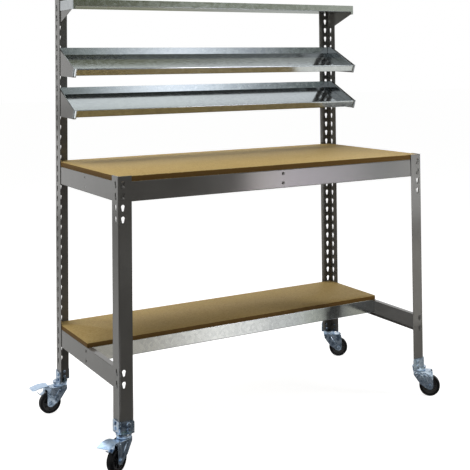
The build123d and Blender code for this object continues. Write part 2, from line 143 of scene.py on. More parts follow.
def bump(tree, height, depthMm, strength):
    return addNode(tree, "ShaderNodeBump", {
        "Height": height, "Distance": depthMm * mm, "Strength": strength,
    }).outputs["Normal"]


# Materials

paintValues = {
    "light": "#696763", "dark": "#605E5A", "peelMm": 2.5, "peelDepth": 0.008, "cloudMm": 160.0,
    "roughness": 0.16, "roughnessSpan": 0.04,
}


def powderCoatedSteel():
    # smooth grey powder coat: a clear sheen that mirrors the room, broken by a fine orange peel
    values = paintValues
    material, tree, shader, place = newMaterial("powderCoatedSteel")
    cloud = noise(tree, place, values["cloudMm"], 3.0)
    setInputs(tree, shader, {
        "Base Color": ramp(tree, cloud, [(0.3, values["dark"]), (0.7, values["light"])]),
        "Roughness": around(tree, cloud, values["roughness"], values["roughnessSpan"]),
        "IOR": 1.5,
        "Normal": bump(tree, noise(tree, place, values["peelMm"]), values["peelDepth"], 0.4),
    })
    return material


galvanisedValues = {
    "bright": "#A9AEB0", "mid": "#A2A7A9", "dark": "#9BA0A3", "spangleMm": 11.0, "rollMm": 1.6,
    "rollStretch": 0.015, "waveMm": 120.0, "waveStretch": 0.3, "waveDepth": 12.0, "bumpDepth": 0.004,
    "roughness": 0.14, "crystalSpan": 0.02, "rollSpan": 0.03, "metallic": 0.93,
}


def galvanisedSheet():
    # hot-dipped rolled sheet: crystals about 11 mm across that each catch the light a little differently,
    # and faint rolling marks along the sheet that draw reflections out
    values = galvanisedValues
    material, tree, shader, place = newMaterial("galvanisedSheet")
    shade = cellShade(tree, place, values["spangleMm"], "Red")
    rolled = noise(tree, drawnOut(tree, place, values["rollStretch"]), values["rollMm"], 3.0)
    wave = noise(tree, drawnOut(tree, place, values["waveStretch"]), values["waveMm"], 1.0)
    height = calculated(tree, "MULTIPLY_ADD", wave, values["waveDepth"], rolled)
    crystalRoughness = around(tree, shade, values["roughness"], values["crystalSpan"])
    setInputs(tree, shader, {
        "Base Color": ramp(tree, shade, [
            (0.0, values["dark"]), (0.5, values["mid"]), (1.0, values["bright"]),
        ]),
        "Roughness": calculated(tree, "ADD", crystalRoughness, around(tree, rolled, 0.0, values["rollSpan"])),
        "Metallic": values["metallic"],
        "Normal": bump(tree, height, values["bumpDepth"], 0.4),
    })
    return material


# zinc colours: the spread from dark to bright is painted reflection, not a change in the plating
zincPaintedReflectionValues = {
    "bright": "#BCCBDC", "mid": "#93A5B8", "dark": "#5E7086",
    "cloudMm": 15.0, "rippleMm": 9.0, "rippleDepth": 0.35, "roughness": 0.12,
}
# painted light: a paler, more even copy of the zinc for the swivel head and pedal, which look brighter
paintedLighterZincValues = {
    "bright": "#C4D6EA", "mid": "#B4CAE2", "dark": "#9DB4CC",
    "cloudMm": 22.0, "rippleMm": 14.0, "rippleDepth": 0.1, "roughness": 0.3,
}


def zincWithPaintedLight(name, values):
    # bright passivated zinc on pressed steel: bluish and mirror-like, with cloudy darker patches of painted
    # reflection, and rippled a little by the press so that reflections break up; the pale copy is more even and
    # painted lighter
    material, tree, shader, place = newMaterial(name)
    cloud = noise(tree, place, values["cloudMm"], 4.0, 0.6)
    # the dark-to-bright ramp over the cloud paints reflection into the zinc's own colour
    setInputs(tree, shader, {
        "Base Color": ramp(tree, cloud, [
            (0.34, values["dark"]), (0.46, values["mid"]), (0.6, values["bright"]),
        ]),
        "Roughness": remapped(tree, cloud, values["roughness"] + 0.06, values["roughness"] - 0.04),
        "Metallic": 1.0,
        "Normal": bump(tree, noise(tree, place, values["rippleMm"], 1.0), values["rippleDepth"], 1.0),
    })
    return material


# the edge colour is partly the coarse core and partly painted shade on the upright faces
boardValues = {
    "pale": "#C2A970", "mid": "#B99F67", "deep": "#AE935B", "fleck": "#9C7F46", "edge": "#5C4016",
    "chipMm": 2.6, "chipStretch": 0.45, "chipShare": 0.45, "chipDepth": 0.12, "dustMm": 0.7,
    "cloudMm": 220.0, "cloudSpan": 0.12, "sawnAndShadedShare": 0.92, "roughness": 0.62, "specular": 0.1,
}


def pressedChipboard():
    # sanded three-layer chipboard: pale flakes of 1 to 4 mm with darker specks, matt, a little cloudy,
    # and much browner on its upright sawn faces: partly the coarse core's chips standing end-on, partly painted
    # shade
    values = boardValues
    material, tree, shader, place = newMaterial("pressedChipboard")
    chips = cellShade(tree, drawnOut(tree, place, values["chipStretch"]), values["chipMm"], "Green")
    dust = noise(tree, place, values["dustMm"], 3.0, 0.6)
    flakes = calculated(tree, "MULTIPLY_ADD", chips, values["chipShare"], remapped(tree, dust, 0.05, 0.5))
    cloud = around(tree, noise(tree, place, values["cloudMm"]), 0.0, values["cloudSpan"])
    tint = ramp(tree, calculated(tree, "ADD", flakes, cloud), [
        (0.1, values["fleck"]), (0.3, values["deep"]), (0.52, values["mid"]), (0.85, values["pale"]),
    ])
    normal = addNode(tree, "ShaderNodeTexCoord").outputs["Normal"]
    upright = addNode(tree, "ShaderNodeSeparateXYZ", {"Vector": normal}).outputs["Z"]
    edge = remapped(tree, calculated(tree, "ABSOLUTE", upright), values["sawnAndShadedShare"], 0.0, 0.3, 0.8)
    # the mix gives upright faces the dark edge colour: partly the coarse core, partly painted shade
    sawn = addNode(tree, "ShaderNodeMix", {
        0: edge, 6: tint, 7: hexColor(values["edge"]),
    }, data_type="RGBA", blend_type="MIX")
    setInputs(tree, shader, {
        "Base Color": sawn.outputs[2],
        "Roughness": remapped(tree, dust, values["roughness"] - 0.08, values["roughness"] + 0.1),
        "Specular IOR Level": values["specular"],
        "Normal": bump(tree, flakes, values["chipDepth"], 0.5),
    })
    return material


rubberValues = {
    "dark": "#08090B", "worn": "#15161A", "scuffMm": 6.0, "scuffDepth": 0.05, "roughness": 0.42,
    "specular": 0.15,
}


def tyreRubber():
    # hard moulded rubber: near black, with faint grey scuffs and a low sheen
    values = rubberValues
    material, tree, shader, place = newMaterial("tyreRubber")
    scuff = noise(tree, place, values["scuffMm"], 5.0, 0.65)
    setInputs(tree, shader, {
        "Base Color": ramp(tree, scuff, [(0.45, values["dark"]), (0.75, values["worn"])]),
        "Roughness": remapped(tree, scuff, values["roughness"] - 0.1, values["roughness"] + 0.15),
        "Specular IOR Level": values["specular"],
        "Normal": bump(tree, scuff, values["scuffDepth"], 0.4),
    })
    return material


plasticValues = {
    "dark": "#0E0F11", "light": "#17181C", "grainMm": 1.2, "grainDepth": 0.03, "roughness": 0.38,
}


def mouldedPolypropylene():
    # injection-moulded wheel centre: black, finely grained, with soft highlights
    values = plasticValues
    material, tree, shader, place = newMaterial("mouldedPolypropylene")
    grain = noise(tree, place, values["grainMm"])
    setInputs(tree, shader, {
        "Base Color": ramp(tree, grain, [(0.3, values["dark"]), (0.7, values["light"])]),
        "Roughness": values["roughness"],
        "Normal": bump(tree, grain, values["grainDepth"], 0.4),
    })
    return material


paintedLighterZinc = zincWithPaintedLight("zincPaintedLighter", paintedLighterZincValues)
slotMaterials = {
    "painted_steel": powderCoatedSteel(), "galvanised": galvanisedSheet(),
    "zinc": zincWithPaintedLight("zincWithPaintedLight", zincPaintedReflectionValues), "chipboard": pressedChipboard(),
    "tyre_rubber": tyreRubber(), "hub_plastic": mouldedPolypropylene(),
}
for entry in frame["record"]["subparts"]:
    mesh = frame["nodes"][entry["node"]].data
    mesh.materials.clear()
    mesh.materials.append(slotMaterials[entry["material_slot"]])
print("materials made:", len(slotMaterials))


# Mesh tools

def linkedObject(name, data):
    made = bpy.data.objects.new(name, data)
    bpy.context.scene.collection.objects.link(made)
    return made


def newPiece(name, mesh, slot, replaced, body="root", material=None):
    # a finished piece: plain mesh in the frame, one material, riding on its body
    mesh.name = name
    mesh.materials.clear()
    mesh.materials.append(material or slotMaterials[slot])
    piece = linkedObject(name, mesh)
    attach(piece, body)
    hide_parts(*replaced)


def evaluatedMesh(holder):
    # the mesh with its modifiers applied; the holder goes away
    bpy.context.view_layer.update()
    graph = bpy.context.evaluated_depsgraph_get()
    mesh = bpy.data.meshes.new_from_object(holder.evaluated_get(graph))
    bpy.data.objects.remove(holder)
    return mesh


def meshFrom(edit, name, outward=False):
    if outward:
        bmesh.ops.recalc_face_normals(edit, faces=edit.faces)
    mesh = bpy.data.meshes.new(name)
    edit.to_mesh(mesh)
    edit.free()
    return mesh


def shadeByAngle(mesh, degrees=35, bendStart=0):
    # flat faces stay flat and curved ones smooth; the line where a sheet's flat runs into its bend,
    # a turn of less than bendStart degrees, stays crisp so that the flat keeps its true reflection
    mesh.shade_smooth()
    edit = bmesh.new()
    edit.from_mesh(mesh)
    for edge in edit.edges:
        faces = edge.link_faces
        turn = math.degrees(faces[0].normal.angle(faces[1].normal, math.pi)) if len(faces) == 2 else 180.0
        edge.smooth = turn < degrees and not 1.0 < turn < bendStart
    edit.to_mesh(mesh)
    edit.free()
    return mesh


def bevelled(mesh, widthMm, segments=2, degrees=40):
    holder = linkedObject("holder", mesh)
    bevel = holder.modifiers.new("bevel", "BEVEL")
    bevel.width = widthMm * mm
    bevel.segments = segments
    bevel.limit_method = "ANGLE"
    bevel.angle_limit = math.radians(degrees)
    return shadeByAngle(evaluatedMesh(holder), degrees=15)


def joined(meshes):
    edit = bmesh.new()
    for mesh in meshes:
        edit.from_mesh(mesh)
    return meshFrom(edit, "joined")


def placed(mesh, matrix):
    moved = mesh.copy()
    moved.transform(matrix)
    if matrix.determinant() < 0:
        moved.flip_normals()
    return moved


def addWalls(edit, rings, hasEnds=True):
    # walls from each ring of corners to the next, and a face over each end
    for under, over in zip(rings, rings[1:]):
        for i in range(len(under)):
            j = (i + 1) % len(under)
            edit.faces.new((under[i], under[j], over[j], over[i]))
    if hasEnds:
        edit.faces.new(rings[0][::-1])
        edit.faces.new(rings[-1])


def newCircle(edit, radius, height, steps):
    # a ring of corners round the Z axis
    angles = [2 * math.pi * i / steps for i in range(steps)]
    return [edit.verts.new((radius * math.cos(a), radius * math.sin(a), height)) for a in angles]


def turnedMesh(profile, steps=64, closed=False):
    # a profile of (radius, height) in mm turned about Z; closed joins its last point to its first
    edit = bmesh.new()
    rings = []
    for radius, height in profile:
        if radius < 1e-6:
            rings.append([edit.verts.new((0, 0, height * mm))] * steps)
            continue
        rings.append(newCircle(edit, radius * mm, height * mm, steps))
    pairs = list(zip(rings, rings[1:]))
    if closed:
        pairs.append((rings[-1], rings[0]))
    for low, high in pairs:
        for i in range(steps):
            j = (i + 1) % steps
            corners = list(dict.fromkeys((low[i], low[j], high[j], high[i])))
            if len(corners) > 2:
                edit.faces.new(corners)
    return shadeByAngle(meshFrom(edit, "turned", outward=True))


def plateMesh(outline, low, high):
    # a flat plate in the XZ plane between y = low and y = high, all in mm
    edit = bmesh.new()
    front, back = ([edit.verts.new((x * mm, y * mm, z * mm)) for x, z in outline] for y in (low, high))
    for a, b, c in tessellate_polygon([[Vector((x, z, 0)) for x, z in outline]]):
        edit.faces.new((front[a], front[b], front[c]))
        edit.faces.new((back[c], back[b], back[a]))
    addWalls(edit, [front, back], hasEnds=False)
    bmesh.ops.recalc_face_normals(edit, faces=edit.faces)
    bmesh.ops.dissolve_limit(edit, angle_limit=0.01, verts=edit.verts, edges=edit.edges)
    return meshFrom(edit, "plate")


def arcPoints(x, z, radius, start, end, steps):
    # points on an arc, its angles in degrees
    angles = [math.radians(start + (end - start) * i / steps) for i in range(steps + 1)]
    return [(x + radius * math.cos(a), z + radius * math.sin(a)) for a in angles]


def hullOutline(circles, steps=48):
    # the outline of a band stretched round circles of (x, z, radius)
    points = []
    for i in range(steps * 4):
        angle = 2 * math.pi * i / (steps * 4)
        direction = (math.cos(angle), math.sin(angle))
        x, z, radius = max(circles, key=lambda c: c[0] * direction[0] + c[1] * direction[1] + c[2])
        point = (x + radius * direction[0], z + radius * direction[1])
        if not points or math.dist(points[-1], point) > 0.3:
            points.append(point)
    return points


# Parts of geometry trees

def newTree(name, inputs):
    # a geometry tree with named inputs of {name: socket kind}
    tree = bpy.data.node_groups.new(name, "GeometryNodeTree")
    for title, kind in {"Geometry": "Geometry", **inputs}.items():
        tree.interface.new_socket(title, in_out="INPUT", socket_type="NodeSocket" + kind)
    tree.interface.new_socket("Geometry", in_out="OUTPUT", socket_type="NodeSocketGeometry")
    return tree, addNode(tree, "NodeGroupInput").outputs


def alongZ(tree, value):
    return addNode(tree, "ShaderNodeCombineXYZ", {"Z": value}).outputs["Vector"]


def copiesOn(tree, points, source, more=None):
    # a copy of an object on each point
    shape = addNode(tree, "GeometryNodeObjectInfo", {"Object": source}).outputs["Geometry"]
    return addNode(tree, "GeometryNodeInstanceOnPoints", {
        "Points": points, "Instance": shape, **(more or {}),
    }).outputs["Instances"]


def finishTree(tree, parts, material, weldMm=0.0):
    # the parts as one real mesh in one material, its touching corners welded if asked
    join = addNode(tree, "GeometryNodeJoinGeometry")
    for part in parts:
        tree.links.new(part, join.inputs["Geometry"])
    last = addNode(tree, "GeometryNodeRealizeInstances", {"Geometry": join.outputs["Geometry"]})
    if weldMm:
        last = addNode(tree, "GeometryNodeMergeByDistance", {
            "Geometry": last.outputs["Geometry"], "Distance": weldMm * mm,
        })
    last = addNode(tree, "GeometryNodeSetMaterial", {
        "Geometry": last.outputs["Geometry"], "Material": material,
    })
    addNode(tree, "NodeGroupOutput", {"Geometry": last.outputs["Geometry"]})
    return tree


def grown(mesh, tree, values):
    # runs a geometry tree on a mesh and gives the plain result back
    holder = linkedObject("holder", mesh)
    modifier = holder.modifiers.new(tree.name, "NODES")
    modifier.node_group = tree
    for item in tree.interface.items_tree:
        if item.in_out == "INPUT" and item.name in values:
            modifier[item.identifier] = values[item.name]
    return evaluatedMesh(holder)


# Posts: rolled angle with a keyhole in both flanges at each punched row

halfWidth, halfDepth = 629.0, 321.0
postValues = {
    "sheet": 2.0, "outerBend": 4.0, "frontFlange": 47.5, "sideFlange": 55.0, "bottom": 114.0,
    "pitch": 38.1, "firstSeat": 145.0, "seatInCell": 11.75, "frontGauge": 16.5, "sideGauge": 23.0,
    "headRadius": 6.25, "headRise": 12.05, "footRadius": 3.5, "footRise": -0.2, "bendSteps": 5,
}
frontLegRows = {"rows": 20, "top": 942.0, "lower": (3, 4), "upper": (17, 20)}
rearPostRows = {"rows": 36, "top": 1559.0, "lower": (1, 36), "upper": (1, 36)}


def angleSection():
    # (outer, inner) pairs of points of the angle's section, from the side flange's edge to the front one's
    values = postValues
    sheet, bend = values["sheet"], values["outerBend"]
    pairs = [((0, values["sideFlange"]), (sheet, values["sideFlange"]))]
    for i in range(values["bendSteps"] + 1):
        angle = math.radians(180 + 90 * i / values["bendSteps"])
        pairs.append([
            (bend + radius * math.cos(angle), bend + radius * math.sin(angle))
            for radius in (bend, bend - sheet)
        ])
    pairs.append(((values["frontFlange"], 0), (values["frontFlange"], sheet)))
    return pairs


def angleCell(height, hasHoles=False, capLow=False, capHigh=False):
    # a length of the angle, its outer corner on the Z axis, with or without a row's two keyholes
    values = postValues
    pairs = angleSection()
    edit = bmesh.new()
    low, high = (
        [[edit.verts.new((x * mm, y * mm, z * mm)) for x, y in pair] for pair in pairs] for z in (0, height)
    )
    gauges = {0: values["sideGauge"], len(pairs) - 2: values["frontGauge"]}
    seat = values["seatInCell"]
    for i in range(len(pairs) - 1):
        loops = [[low[i][face], low[i + 1][face], high[i + 1][face], high[i][face]] for face in (0, 1)]
        if not hasHoles or i not in gauges:
            for loop in loops:
                edit.faces.new(loop)
            continue
        outline = hullOutline([
            (gauges[i], seat + values["headRise"], values["headRadius"]),
            (gauges[i], seat + values["footRise"], values["footRadius"]),
        ], steps=6)
        rings = []
        for face, loop in enumerate(loops):
            level = values["sheet"] * face * mm
            places = [(level, u * mm, z * mm) if i == 0 else (u * mm, level, z * mm) for u, z in outline]
            ring = [edit.verts.new(place) for place in places]
            across = 1 if i == 0 else 0
            flat = [[Vector((v.co[across], v.co.z, 0)) for v in part] for part in (loop, ring)]
            for corners in tessellate_polygon(flat):
                edit.faces.new([(loop + ring)[corner] for corner in corners])
            rings.append(ring)
        addWalls(edit, rings, hasEnds=False)
    for end in (0, -1):
        edit.faces.new((low[end][0], low[end][1], high[end][1], high[end][0]))
    for isCapped, ring in ((capLow, low), (capHigh, high)):
        if isCapped:
            for here, there in zip(ring, ring[1:]):
                edit.faces.new((here[0], there[0], there[1], here[1]))
    return meshFrom(edit, "angleCell")


def punchedPostTree():
    # stacks punched and plain lengths of angle on the post's two ends and welds them into one
    tree, given = newTree("punchedPost", {
        "Punched Length": "Object", "Plain Length": "Object", "Rows": "Int", "Pitch": "Float",
        "First Height": "Float", "Lower From": "Int", "Lower To": "Int", "Upper From": "Int",
        "Upper To": "Int", "Material": "Material",
    })
    line = addNode(tree, "GeometryNodeMeshLine", {
        "Count": given["Rows"], "Start Location": alongZ(tree, given["First Height"]),
        "Offset": alongZ(tree, given["Pitch"]),
    }, mode="OFFSET")
    row = calculated(tree, "ADD", addNode(tree, "GeometryNodeInputIndex").outputs["Index"], 1.0)

    def compared(operation, title):
        inputs = {0: row, 1: given[title]}
        node = addNode(tree, "FunctionNodeCompare", inputs, data_type="FLOAT", operation=operation)
        return node.outputs["Result"]

    def logic(operation, *values):
        node = addNode(tree, "FunctionNodeBooleanMath", dict(enumerate(values)), operation=operation)
        return node.outputs["Boolean"]

    inLower, inUpper = (
        logic("AND", compared("GREATER_EQUAL", band + " From"), compared("LESS_EQUAL", band + " To"))
        for band in ("Lower", "Upper")
    )
    isPunched = logic("OR", inLower, inUpper)
    parts = [given["Geometry"]]
    for title, chosen in (("Punched Length", isPunched), ("Plain Length", logic("NOT", isPunched))):
        parts.append(copiesOn(tree, line.outputs["Mesh"], given[title], {"Selection": chosen}))
    return finishTree(tree, parts, given["Material"], weldMm=0.02)


postTree = punchedPostTree()
punchedLength = bpy.data.objects.new("punchedLength", angleCell(postValues["pitch"], hasHoles=True))
plainLength = bpy.data.objects.new("plainLength", angleCell(postValues["pitch"]))


def postMesh(rows):
    values = postValues
    firstHeight = values["firstSeat"] + values["pitch"] - values["seatInCell"]
    lastHeight = firstHeight + rows["rows"] * values["pitch"]
    foot = angleCell(firstHeight - values["bottom"], capLow=True)
    head = angleCell(rows["top"] - lastHeight, capHigh=True)
    ends = joined([
        placed(foot, Matrix.Translation((0, 0, values["bottom"] * mm))),
        placed(head, Matrix.Translation((0, 0, lastHeight * mm))),
    ])
    edit = bmesh.new()
    edit.from_mesh(grown(ends, postTree, {
        "Punched Length": punchedLength, "Plain Length": plainLength, "Rows": rows["rows"],
        "Pitch": values["pitch"] * mm, "First Height": firstHeight * mm,
        "Lower From": rows["lower"][0], "Lower To": rows["lower"][1],
        "Upper From": rows["upper"][0], "Upper To": rows["upper"][1],
        "Material": slotMaterials["painted_steel"],
    }))
    return shadeByAngle(meshFrom(edit, "post", outward=True), bendStart=12)


legMesh = postMesh(frontLegRows)
tallMesh = postMesh(rearPostRows)
toFrontLeft = Matrix.Translation((-halfWidth * mm, -halfDepth * mm, 0))
for name, node, source, sideX, sideY in (
    ("frontLeftLeg", "front_left_leg", legMesh, -1, -1),
    ("frontRightLeg", "front_right_leg", legMesh, 1, -1),
    ("rearLeftPost", "rear_left_post", tallMesh, -1, 1),
    ("rearRightPost", "rear_right_post", tallMesh, 1, 1),
):
    toCorner = Matrix.Diagonal((-sideX, -sideY, 1, 1)) @ toFrontLeft
    newPiece(name, placed(source, toCorner), "painted_steel", [node])
print("posts made:", len(tallMesh.polygons), "faces in a tall one")


# Rivets and bolts, set by a tree on points that know which way they face

def fastenerTree():
    tree, given = newTree("fastenersOnPoints", {
        "Fastener": "Object", "Turn Spread": "Float", "Seed": "Int", "Material": "Material",
    })
    facing = addNode(tree, "GeometryNodeInputNamedAttribute", {"Name": "facing"}, data_type="FLOAT_VECTOR")
    spin = addNode(tree, "FunctionNodeRandomValue", {
        "Max": given["Turn Spread"], "Seed": given["Seed"],
    }, data_type="FLOAT")
    spun = addNode(tree, "FunctionNodeEulerToRotation", {"Euler": alongZ(tree, spin.outputs["Value"])})
    align = addNode(tree, "FunctionNodeAlignRotationToVector", {
        "Rotation": spun.outputs["Rotation"], "Vector": facing.outputs["Attribute"],
    }, axis="Z")
    points = addNode(tree, "GeometryNodeMeshToPoints", {"Mesh": given["Geometry"]}).outputs["Points"]
    copies = copiesOn(tree, points, given["Fastener"], {"Rotation": align.outputs["Rotation"]})
    return finishTree(tree, [copies], given["Material"])


fasteners = fastenerTree()


def fastened(shapeMesh, places, slot, spread=0.0, seed=1):
    # places are (point in mm, facing) pairs
    mesh = bpy.data.meshes.new("places")
    mesh.from_pydata([tuple(c * mm for c in point) for point, facing in places], [], [])
    facings = mesh.attributes.new("facing", "FLOAT_VECTOR", "POINT")
    for item, (point, facing) in zip(facings.data, places):
        item.vector = facing
    return shadeByAngle(grown(mesh, fasteners, {
        "Fastener": bpy.data.objects.new("fastenerShape", shapeMesh), "Turn Spread": spread, "Seed": seed,
        "Material": slotMaterials[slot],
    }))


rivetValues = {
    "radius": 3.3, "headRadius": 5.6, "headHeight": 2.4, "headEdge": 0.5, "domeAngles": (1.15, 0.75, 0.35),
    "tailRadius": 4.6, "tailHeight": 1.6, "tailEdge": 0.8, "steps": 16,
    "railGrip": 3.5, "tieGrip": 3.0, "endPanelGrip": 5.0,
}
tierValues = {
    "worktopBottom": 856.9, "lowerBottom": 247.3, "railSheet": 2.0, "railRises": (12.0, 50.1),
    "tieRises": (18.0, 52.0), "bracketRows": (32, 30, 28, 26), "topTrayRows": (36, 35),
}


def rivetMesh(grip):
    # domed head on z = 0 facing +Z, shank and upset tail behind the two sheets
    values = rivetValues
    shank, head, edge, tail = (values[key] for key in ("radius", "headRadius", "headEdge", "tailRadius"))
    end = -grip - values["tailHeight"]
    rise = values["headHeight"] - edge
    dome = [(head * math.cos(a), edge + rise * math.sin(a)) for a in values["domeAngles"]]
    return turnedMesh([
        (0, values["headHeight"]), *dome, (head, edge), (head, 0), (shank, 0), (shank, -grip),
        (tail, -grip), (tail, -grip - values["tailEdge"]), (shank * 0.8, end), (0, end),
    ], values["steps"])


def onFace(axis, sides, inset, z, proud=0.0):
    # a point on a side face (axis 0) or a front or back face (axis 1), inset from its end, and its facing;
    # a side is -1, 0 for the middle or 1
    reaches = [halfWidth - inset, halfDepth - inset]
    reaches[axis] = (halfWidth, halfDepth)[axis] + proud
    facing = (sides[0] * (axis == 0), sides[1] * (axis == 1), 0)
    return (sides[0] * reaches[0], sides[1] * reaches[1], z), facing


def railPlaces(bottom, sidesY):
    # two rivets per rail end on the front or back faces given, and on both side faces
    faces = [(1, side, postValues["frontGauge"]) for side in sidesY]
    faces += [(0, side, postValues["sideGauge"]) for side in (-1, 1)]
    return [
        onFace(axis, (sideX, sideY), gauge, bottom + rise)
        for rise in tierValues["railRises"] for sideX in (-1, 1) for axis, sideY, gauge in faces
    ]


def tiePlaces(bottom, axis):
    # two rivets at each end of a tie that runs along an axis between the middles of two rails
    return [
        onFace(axis, (side * (axis == 0), side * (axis == 1)), 0, bottom + rise, -tierValues["railSheet"])
        for side in (-1, 1) for rise in tierValues["tieRises"]
    ]


def trayPlaces(rows):
    return [
        onFace(0, (side, 1), postValues["sideGauge"], postValues["firstSeat"] + row * postValues["pitch"])
        for row in rows for side in (-1, 1)
    ]


railRivet = rivetMesh(rivetValues["railGrip"])
tieRivet = rivetMesh(rivetValues["tieGrip"])
panelRivet = rivetMesh(rivetValues["endPanelGrip"])
worktopBottom, lowerBottom = tierValues["worktopBottom"], tierValues["lowerBottom"]
for name, node, groups in (
    ("worktopRivets", "worktop_rivets", (
        (railRivet, railPlaces(worktopBottom, (-1, 1))), (tieRivet, tiePlaces(worktopBottom, 1)),
    )),
    ("lowerRivets", "lower_rivets", (
        (railRivet, railPlaces(lowerBottom, (1,))), (tieRivet, tiePlaces(lowerBottom, 0)),
    )),
    ("trayBolts", "tray_bolts", (
        (railRivet, trayPlaces(tierValues["bracketRows"])),
        (panelRivet, trayPlaces(tierValues["topTrayRows"])),
    )),
):
    newPiece(name, joined([fastened(*group, "painted_steel") for group in groups]), "painted_steel", [node])


def hexMesh(radius, low, high, chamfer=0.7, endShare=0.9):
    # a hexagon nut or bolt head along Z with its end corners turned off
    edit = bmesh.new()
    levels = ((low, endShare), (low + chamfer, 1.0), (high - chamfer, 1.0), (high, endShare))
    addWalls(edit, [newCircle(edit, radius * share * mm, z * mm, 6) for z, share in levels])
    return meshFrom(edit, "hexagon")


shoeBoltValues = {
    "grip": 6.0, "headRadius": 5.8, "headHeight": 3.6, "nutHeight": 4.2, "shank": 3.0, "tip": 0.9,
    "washer": 0.9, "inset": 29.5, "stack": 4.0, "rises": (8.0, 25.5), "turnSpread": 1.0, "seed": 4,
}


def boltMesh():
    # a hexagon bolt with a washer on z = 0 facing +Z, and its nut behind the grip
    values = shoeBoltValues
    shank, head, top = values["shank"], values["headRadius"], values["washer"]
    grip, nutEnd = values["grip"], -values["grip"] - values["nutHeight"]
    washer = turnedMesh([
        (shank, 0), (head + 0.9, 0), (head + 0.9, 0.7), (head + 0.6, top), (shank, top),
    ], steps=16, closed=True)
    rod = turnedMesh([
        (0, 0.5), (shank, 0.5), (shank, nutEnd - 0.4), (shank - 0.5, nutEnd - values["tip"]),
        (0, nutEnd - values["tip"]),
    ], steps=12)
    return joined([washer, hexMesh(head, top, values["headHeight"]), rod, hexMesh(head, nutEnd, -grip)])


def shoeBoltPlaces():
    # two bolts through each face of each shoe
    values = shoeBoltValues
    return [
        onFace(axis, (sideX, sideY), values["inset"], postValues["bottom"] + rise, values["stack"])
        for sideX in (-1, 1) for sideY in (-1, 1) for rise in values["rises"] for axis in (1, 0)
    ]


shoeBolts = fastened(
    boltMesh(), shoeBoltPlaces(), "zinc", shoeBoltValues["turnSpread"], shoeBoltValues["seed"],
)
newPiece("shoeBolts", shoeBolts, "zinc", ["shoe_bolts"])
print("rivets and bolts made")


# Boards: sawn chipboard whose top and bottom arrises have lost a chip here and there

boardEdgeValues = {
    "stepMm": 5.0, "arris": 0.7, "arrisShare": 0.6, "chip": 0.9, "chipRarity": 4, "corner": 2.0,
}
randomSpan = 2147483648


def nextRandom(state):
    # the next whole number of a fixed sequence below randomSpan
    return (state * 1103515245 + 12345) % randomSpan


def chippedBoard(node, seed):
    # an outline walked in small steps, whose arris falls back unevenly
    low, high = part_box(node)
    values = boardEdgeValues
    corner = values["corner"] * mm
    corners = [
        (low.x + corner, low.y), (high.x - corner, low.y),
        (high.x, low.y + corner), (high.x, high.y - corner),
        (high.x - corner, high.y), (low.x + corner, high.y),
        (low.x, high.y - corner), (low.x, low.y + corner),
    ]
    outline = []
    for (x0, y0), (x1, y1) in zip(corners, corners[1:] + corners[:1]):
        count = max(1, round(math.dist((x0, y0), (x1, y1)) / (values["stepMm"] * mm)))
        outline += [(x0 + (x1 - x0) * i / count, y0 + (y1 - y0) * i / count) for i in range(count)]
    center, reach = (low + high) / 2, (high - low) / 2
    arris = values["arris"] * mm
    inward = arris * values["arrisShare"]
    state = seed * 7919 + 13
    edit = bmesh.new()
    rings = [[], [], [], []]
    for x, y in outline:
        chips = []
        for i in range(2):
            state = nextRandom(state)
            chips.append((state / randomSpan) ** values["chipRarity"] * values["chip"] * mm)
        for ring, z, inset in (
            (rings[0], low.z, inward + chips[0]), (rings[1], low.z + arris + chips[0], 0.0),
            (rings[2], high.z - arris - chips[1], 0.0), (rings[3], high.z, inward + chips[1]),
        ):
            shares = (1 - inset / reach.x, 1 - inset / reach.y)
            ring.append(edit.verts.new((
                center.x + (x - center.x) * shares[0], center.y + (y - center.y) * shares[1], z,
            )))
    addWalls(edit, rings)
    return shadeByAngle(meshFrom(edit, node, outward=True), degrees=60)


newPiece("worktopBoard", chippedBoard("worktop_board", 3), "chipboard", ["worktop_board"])
newPiece("lowerShelfBoard", chippedBoard("lower_shelf_board", 8), "chipboard", ["lower_shelf_board"])
print("boards made")


# Trays: folded galvanised sheet with hemmed edges and an inner wall at each end

trayValues = {
    "frontY": 118.8, "depth": 198.0, "lip": 28.5, "back": 28.0, "sheet": 1.2, "bend": 1.0, "hem": 2.6,
    "hemDepth": 6.0, "reach": 625.3, "lipReach": 615.8, "wallX": 622.2, "wallSheet": 1.0, "rimSheet": 1.4,
    "wallDrop": 0.6, "rimWidth": 5.0, "shoulder": 28.0, "bendSteps": 4, "rise": 79.0,
    "bottoms": {"upper": 1265.4, "lower": 1113.0},
}


def unit(a, b):
    length = math.dist(a, b)
    return ((b[0] - a[0]) / length, (b[1] - a[1]) / length)


def hemPairs(tip, ahead):
    # the rounded edge and the return of a hem at a tip, its sheet running on ahead
    values = trayValues
    inward = (-ahead[1], ahead[0])
    pairs = []
    for back, low, high in (
        (0.0, 0.35, 0.65), (0.25, 0.12, 0.88), (0.9, 0.0, 1.0), (values["hemDepth"], 0.0, 1.0),
        (values["hemDepth"] + 0.6, 0.0, values["sheet"] / values["hem"]),
    ):
        along = (tip[0] + ahead[0] * back, tip[1] + ahead[1] * back)
        pairs.append(tuple(
            (along[0] + inward[0] * values["hem"] * share, along[1] + inward[1] * values["hem"] * share)
            for share in (low, high)
        ))
    return pairs


